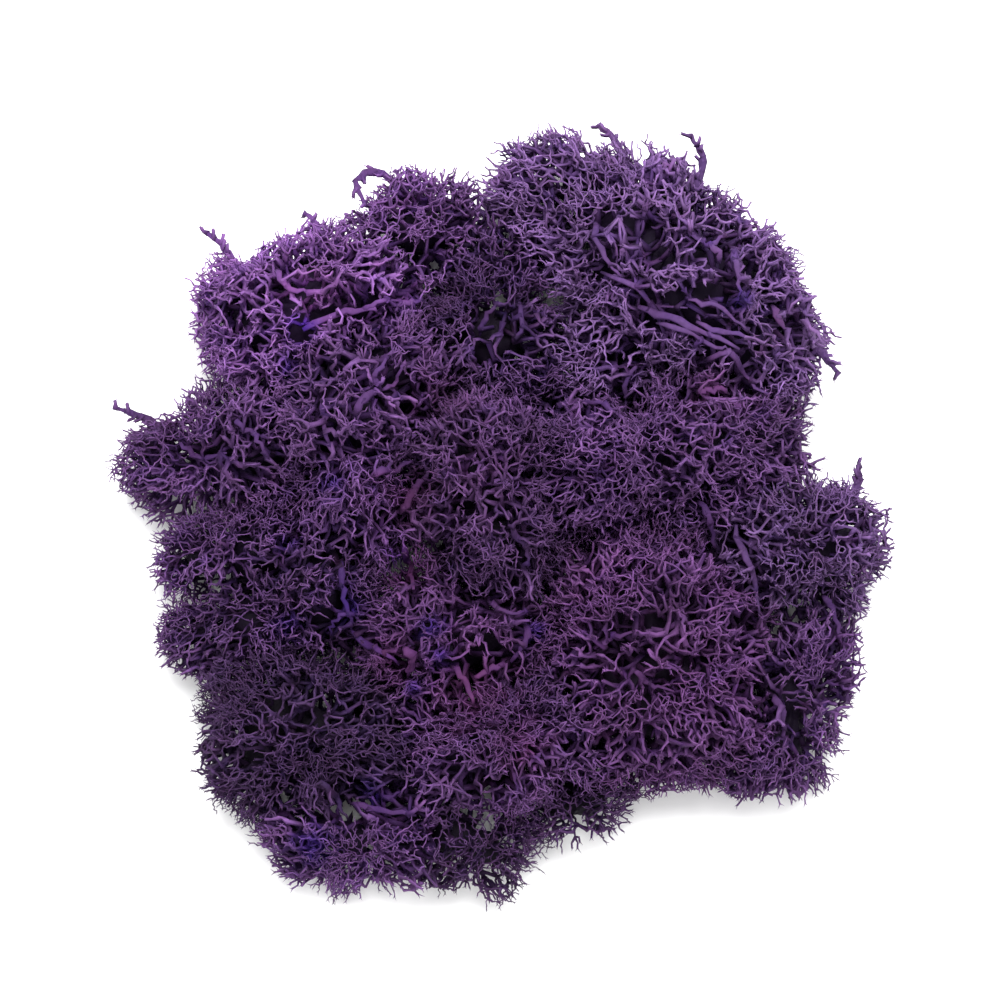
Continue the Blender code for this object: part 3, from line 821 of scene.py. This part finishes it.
# Tips down to the first depth are stars, and arms that start and end below the second one lie
# deep in the shade. Prongs and bare stems are kept off the floor.
STAR_DEPTH = 1.6
DEEP_ARM = 3
OFF_FLOOR = 0.1
SUNK_SHARE = 0.4
arm_tone = np.clip(rng.normal(1.0, 0.12, len(is_tip)), 0.7, 1.35)
is_star = is_tip & (arms["depth"] < STAR_DEPTH)
is_deep = ~is_star & (arms["depth"] > DEEP_ARM) & (parent_depth > DEEP_ARM)
print("stars:", int(is_star.sum()), "deep arms:", int(is_deep.sum()))


def near_tip(depth, owner):
    """0 at the depth of the core and 1 at the surface and beyond it."""
    return np.clip(1 - depth / shell_of[owner], 0, 1)


def add_arms(net, index, pointed=False, straight=False):
    """Skin arms of one kind: three rings each, two rings and a point, or two rings.

    The first ring is sunk into the parent's end by a share of its radius, to close the joint.
    """
    a, b, c = (arms[key][index] for key in "abc")
    start_way, whole_way, end_way = unit(b - a), unit(c - a), unit(c - b)
    side = unit(np.cross(start_way, rng.normal(size=a.shape)))
    sunk = a - start_way * radius_start[index][:, None] * SUNK_SHARE
    rings = [ring_points(sunk, start_way, side, radius_start[index])]
    along = [0.0] * SIDES
    if not straight:
        rings.append(ring_points(b, whole_way, side, radius_middle[index]))
        along += [0.5] * SIDES
    if pointed:
        rings.append(c[:, None])
        along += [1.0]
    else:
        rings.append(ring_points(c, end_way, side, radius_end[index]))
        along += [1.0] * SIDES
    points = np.concatenate(rings, axis=1)
    size = points.shape[1]
    whole_rings = len(rings) - int(pointed)
    faces = tube_faces(whole_rings, SIDES, np.arange(len(index)) * size, pointed)
    owner = np.repeat(arms["owner"][index], size)
    along = np.tile(along, len(index))
    near = near_tip(np.repeat(parent_depth[index], size), owner) * (1 - along)
    near = near + near_tip(np.repeat(arms["depth"][index], size), owner) * along
    points = points.reshape(-1, 3)
    tone, rosy, inky = dye_at(points, owner)
    net.add(points, faces, near, tone * np.repeat(arm_tone[index], size), rosy, inky)


def add_prongs(net, index):
    """Two prongs on the end of each arm, spread to both sides of the arm's heading.

    A prong is a ring and a point: base + (heading * cos(spread) +- side * sin(spread)) * length.
    """
    heading = unit(arms["c"][index] - arms["b"][index])
    side = unit(np.cross(heading, rng.normal(size=heading.shape)))
    size = SIDES + 1
    for sign in (-1, 1):
        spread = PRONG_SPREAD * rng.uniform(0.6, 1.3, len(index))[:, None] * sign
        way = heading * np.cos(spread) + side * np.sin(spread)
        length = PRONG_LENGTH * rng.uniform(0.6, 1.2, len(index))[:, None] * coarse[index][:, None]
        base = arms["c"][index] - heading * PRONG_RADIUS
        ring = ring_points(base, way, side, PRONG_RADIUS * coarse[index])
        points = np.concatenate([ring, (base + way * length)[:, None]], axis=1)
        points[:, :, 2] = np.maximum(points[:, :, 2], OFF_FLOOR)
        faces = tube_faces(1, SIDES, np.arange(len(index)) * size, True)
        owner = np.repeat(arms["owner"][index], size)
        points = points.reshape(-1, 3)
        tone, rosy, inky = dye_at(points, owner)
        tone = tone * np.repeat(arm_tone[index], size)
        net.add(points, faces, np.full(len(points), 1.0), tone, rosy, inky)


# %% Stems into the net
STEM_SIDES = 7
STEM_FLAT = 0.42
STEM_WOBBLE = 0.28
STEM_NEAR_TIP = 0.66


def add_stems(net, tuft):
    """Skin the bare stems of a tuft: flattened tubes with a blunt end, wider side level."""
    for stem in np.flatnonzero(stem_owner == tuft):
        line = stem_lines[stem]
        way = unit(np.gradient(line, axis=0))
        level = unit(np.cross(way, [0.0, 0.0, 1.0]))
        wobble = 1 + STEM_WOBBLE * rng.uniform(-1, 1, STEM_POINTS)
        rings = ring_points(line, way, level, stem_radii[stem] * wobble, STEM_SIDES, STEM_FLAT)
        points = rings.reshape(-1, 3)
        points[:, 2] = np.maximum(points[:, 2], OFF_FLOOR)
        faces = tube_faces(STEM_POINTS, STEM_SIDES, np.zeros(1, dtype=int), False)
        tone, rosy, inky = dye_at(points, np.full(len(points), tuft), stem_colour[stem])
        net.add(points, faces, np.full(len(points), STEM_NEAR_TIP), tone, rosy, inky)


print("stems on each tuft:", np.bincount(stem_owner, minlength=len(names)))

# %% [markdown]
# ## The dark core
# Behind the net lies a mat of dead stems that no light reaches. Branches there would be wasted, so it
# is a closed, slightly rough surface: a sphere's grid pushed out to the core's reach, coloured darker
# than any branch as painted shade. It keeps the white floor from shining through the net.

# %% Core surface
CORE_RINGS, CORE_SPOKES = 20, 30
CORE_ROUGH = 0.82
# How much darker the core is drawn than its tuft: painted shade.
CORE_SHADE_TONE = 0.6


def add_core(net, tuft):
    """A closed grid of rings between two poles, each point at a share of the core's reach."""
    polar = np.linspace(0, math.pi, CORE_RINGS + 2)[1:-1]
    spoke = np.arange(CORE_SPOKES) * math.tau / CORE_SPOKES
    ring = np.stack([np.sin(polar)[:, None] * np.cos(spoke), np.sin(polar)[:, None] * np.sin(spoke),
                     np.cos(polar)[:, None] * np.ones(CORE_SPOKES)], axis=2).reshape(-1, 3)
    directions = np.concatenate([ring, [[0, 0, 1], [0, 0, -1]]])
    distance = reach(tuft, directions, shell_of[tuft])[0]
    distance = distance * rng.uniform(CORE_ROUGH, 1.0, len(distance))
    points = tuft_middle[tuft] + directions * distance[:, None]
    points[:, 2] = np.maximum(points[:, 2], 0)
    index = np.arange(CORE_RINGS * CORE_SPOKES).reshape(CORE_RINGS, CORE_SPOKES)
    after = np.roll(index, -1, axis=1)
    low, next_low, high, next_high = index[1:], after[1:], index[:-1], after[:-1]
    walls = np.concatenate([np.stack([low, next_low, next_high], axis=2).reshape(-1, 3),
                            np.stack([low, next_high, high], axis=2).reshape(-1, 3)])
    top, bottom = CORE_RINGS * CORE_SPOKES, CORE_RINGS * CORE_SPOKES + 1
    crown = np.stack([index[0], after[0], np.full(CORE_SPOKES, top)], axis=1)
    foot = np.stack([after[-1], index[-1], np.full(CORE_SPOKES, bottom)], axis=1)
    faces = np.concatenate([walls, crown, foot])
    zero = np.zeros(len(points))
    # The core takes the ramp's deepest colour, darkened further: painted shade.
    net.add(points, faces, zero, zero + CORE_SHADE_TONE * tuft_tone_and_shade[tuft], zero, zero)


print("points of a core:", CORE_RINGS * CORE_SPOKES + 2)

# %% [markdown]
# ## Dyed lichen
# The lichen was soaked in violet dye and glycerine, which leaves it matt and a little frosted.
# The colour runs from pale tips to near-black inner stems. This is partly the lichen's own colour,
# since the tips took the least dye and the inner stems are a deeper violet, and partly painted shade
# that deepens with depth, plus painted light at the tips. Each point carries how near the tip it lies,
# and the colour follows that. Fine noise on Object coordinates adds the flecks of the lichen's skin,
# with a grain of about 0.8 mm.

# %% Colours and nodes
VALUES = ("near_tip", "tone", "rosy", "inky")


def linear(hex_colour):
    """sRGB hex to linear RGBA."""
    channels = [int(hex_colour[at:at + 2], 16) / 255 for at in (1, 3, 5)]
    return [c / 12.92 if c <= 0.04045 else ((c + 0.055) / 1.055) ** 2.4 for c in channels] + [1.0]


def add_node(material, kind, settings=None, links=None):
    """Add a node, set its values, and link its inputs, by name or number, from outputs."""
    node = material.node_tree.nodes.new(kind)
    for key, value in (settings or {}).items():
        if isinstance(key, int) or key in node.inputs:
            node.inputs[key].default_value = value
        else:
            setattr(node, key, value)
    for key, output in (links or {}).items():
        material.node_tree.links.new(output, node.inputs[key])
    return node


print("pale tip in linear light:", [round(channel, 3) for channel in linear("#684679")])

# %% The lichen's material
# Each spot's colour, and how much of it shows at full strength.
SPOT_COLOURS = {"rosy": ("#5E2957", 0.5), "inky": ("#260F70", 0.7)}
BODY_PLACE = 0.6
FLECK_SIZE = 0.8 * MM
FLECK_DARK, FLECK_BRIGHT = 0.65, 1.35
# A porous skin is rough and hardly shines, so its specular level is far below that of plastic.
LICHEN_ROUGHNESS = 0.75
LICHEN_SPECULAR = 0.15


def dyed_lichen(name, deep, body, tip):
    """Matt lichen: a ramp from deep inner stems to pale tips, partly painted shade and light, then the
    spots and the tone.
    """
    material = bpy.data.materials.new(name)
    material.use_nodes = True
    shader = material.node_tree.nodes["Principled BSDF"]
    value = {key: add_node(material, "ShaderNodeAttribute", {"attribute_name": key}).outputs["Fac"]
             for key in VALUES}
    # The ramp by depth under the surface is partly the lichen's own colour, partly painted shade deep
    # inside and painted light at the tips.
    ramp = add_node(material, "ShaderNodeValToRGB", links={0: value["near_tip"]})
    ramp.color_ramp.elements[0].color = linear(deep)
    ramp.color_ramp.elements[1].color = linear(tip)
    ramp.color_ramp.elements.new(BODY_PLACE).color = linear(body)
    colour = ramp.outputs["Color"]
    for key, (hex_colour, share) in SPOT_COLOURS.items():
        amount = add_node(material, "ShaderNodeMath", {"operation": "MULTIPLY", 1: share},
                          {0: value[key]}).outputs[0]
        mix = add_node(material, "ShaderNodeMix", {"data_type": "RGBA"})
        mix.inputs[7].default_value = linear(hex_colour)
        material.node_tree.links.new(amount, mix.inputs[0])
        material.node_tree.links.new(colour, mix.inputs[6])
        colour = mix.outputs[2]
    place = add_node(material, "ShaderNodeTexCoord").outputs["Object"]
    fleck = add_node(material, "ShaderNodeTexNoise", {"Scale": 1 / FLECK_SIZE, "Detail": 2.0},
                     {"Vector": place}).outputs[0]
    flecked = add_node(material, "ShaderNodeMapRange", {3: FLECK_DARK, 4: FLECK_BRIGHT},
                       {0: fleck}).outputs[0]
    bright = add_node(material, "ShaderNodeMath", {"operation": "MULTIPLY"},
                      {0: flecked, 1: value["tone"]}).outputs[0]
    toned = add_node(material, "ShaderNodeHueSaturation", {}, {"Value": bright, "Color": colour})
    material.node_tree.links.new(toned.outputs["Color"], shader.inputs["Base Color"])
    shader.inputs["Specular IOR Level"].default_value = LICHEN_SPECULAR
    shader.inputs["Roughness"].default_value = LICHEN_ROUGHNESS
    return material


# Deep, body and tip colours of each ramp; the dark deep end is partly painted shade.
lichen = {
    "lichen_violet": dyed_lichen("dyed_lichen_violet", "#1B0A27", "#341B46", "#684679"),
    "lichen_grey_violet": dyed_lichen("dyed_lichen_grey", "#1C0D28", "#39224B", "#6C4F7F"),
    "lichen_rosy_violet": dyed_lichen("dyed_lichen_rosy", "#1D0A27", "#381C46", "#6A4478"),
    "lichen_deep_violet": dyed_lichen("dyed_lichen_deep", "#170821", "#2C173E", "#5D3F6E"),
}
print("materials:", len(lichen))

# %% [markdown]
# ## One piece for each tuft
# The tubes, the stems and the core of a tuft go into one mesh, which stands for its solid. One
# object for each branch would be tens of thousands, and the foreach_set calls fill a mesh of a
# hundred thousand triangles at once.

# %% Build the pieces
slot_of = {sub["node"]: sub["material_slot"] for sub in frame["record"]["subparts"]}
total_triangles = 0
for tuft, name in enumerate(names):
    net = Net()
    mine = arms["owner"] == tuft
    add_arms(net, np.flatnonzero(mine & is_deep), straight=True)
    add_arms(net, np.flatnonzero(mine & ~is_deep & (~is_tip | is_star)))
    add_arms(net, np.flatnonzero(mine & ~is_deep & is_tip & ~is_star), pointed=True)
    add_prongs(net, np.flatnonzero(mine & is_star))
    add_stems(net, tuft)
    add_core(net, tuft)
    points, faces, values = net.arrays()
    mesh = bpy.data.meshes.new(name + "_branches")
    mesh.vertices.add(len(points))
    mesh.vertices.foreach_set("co", (points * MM).ravel())
    mesh.loops.add(faces.size)
    mesh.loops.foreach_set("vertex_index", faces.ravel())
    mesh.polygons.add(len(faces))
    mesh.polygons.foreach_set("loop_start", np.arange(0, faces.size, 3))
    for key, column in zip(VALUES, values.T):
        layer = mesh.attributes.new(key, "FLOAT", "POINT")
        layer.data.foreach_set("value", np.ascontiguousarray(column))
    mesh.update(calc_edges=True)
    mesh.validate()
    mesh.shade_smooth()
    mesh.materials.append(lichen[slot_of[name]])
    piece = bpy.data.objects.new(name + "_branches", mesh)
    bpy.context.scene.collection.objects.link(piece)
    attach(piece, "root")
    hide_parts(name)
    total_triangles += len(faces)
    print(name, len(faces), "triangles")
print("triangles in all:", total_triangles)

# %% [markdown]
# ## Floor, light and camera
# The photograph looks down on the clump from almost straight above, on plain white paper, in
# soft light that comes mostly from its top edge. A bright white world fills the shadows as the
# walls of a light tent do, and one soft box gives the direction.

# %% Floor
FLOOR_SIZE = 4
PAPER_ROUGHNESS = 0.9
bpy.ops.mesh.primitive_plane_add(size=FLOOR_SIZE, location=(0, 0, 0))
floor = bpy.context.object
floor.name = "floor"
paper = bpy.data.materials.new("white_paper")
paper.use_nodes = True
paper.node_tree.nodes["Principled BSDF"].inputs["Base Color"].default_value = linear("#FAFAFA")
paper.node_tree.nodes["Principled BSDF"].inputs["Roughness"].default_value = PAPER_ROUGHNESS
floor.data.materials.append(paper)

# %% Light
WORLD_STRENGTH = 1.3
KEY_PLACE, KEY_AIM = Vector((0.05, 0.35, 0.85)), Vector((0, 0, 0.02))
KEY_SIZE, KEY_WATTS = 0.6, 14
world = bpy.data.worlds.new("studio")
bpy.context.scene.world = world
world.use_nodes = True
world.node_tree.nodes["Background"].inputs["Color"].default_value = (1, 1, 1, 1)
world.node_tree.nodes["Background"].inputs["Strength"].default_value = WORLD_STRENGTH
lamp = bpy.data.lights.new("key", "AREA")
lamp.size = KEY_SIZE
lamp.energy = KEY_WATTS
key_light = bpy.data.objects.new("key", lamp)
key_light.location = KEY_PLACE
key_light.rotation_euler = (KEY_AIM - KEY_PLACE).to_track_quat("-Z", "Y").to_euler()
bpy.context.scene.collection.objects.link(key_light)

# %% Camera
# Metres; the photograph's width is that of the plane through the target.
ELEVATION = math.radians(80)
DISTANCE = 0.65
TARGET = Vector((-0.0004, 0.0012, 0.014))
SENSOR_MM = 36
PHOTO_WIDTH = 0.1783
camera_data = bpy.data.cameras.new("camera")
camera_data.sensor_width = SENSOR_MM
camera_data.lens = SENSOR_MM * DISTANCE / PHOTO_WIDTH
camera = bpy.data.objects.new("camera", camera_data)
camera.location = TARGET + Vector((0, -math.cos(ELEVATION), math.sin(ELEVATION))) * DISTANCE
camera.rotation_euler = (TARGET - camera.location).to_track_quat("-Z", "Y").to_euler()
bpy.context.scene.collection.objects.link(camera)
bpy.context.scene.camera = camera
bpy.context.scene.view_settings.view_transform = "Standard"

# %% Update the scene
bpy.context.view_layer.update()
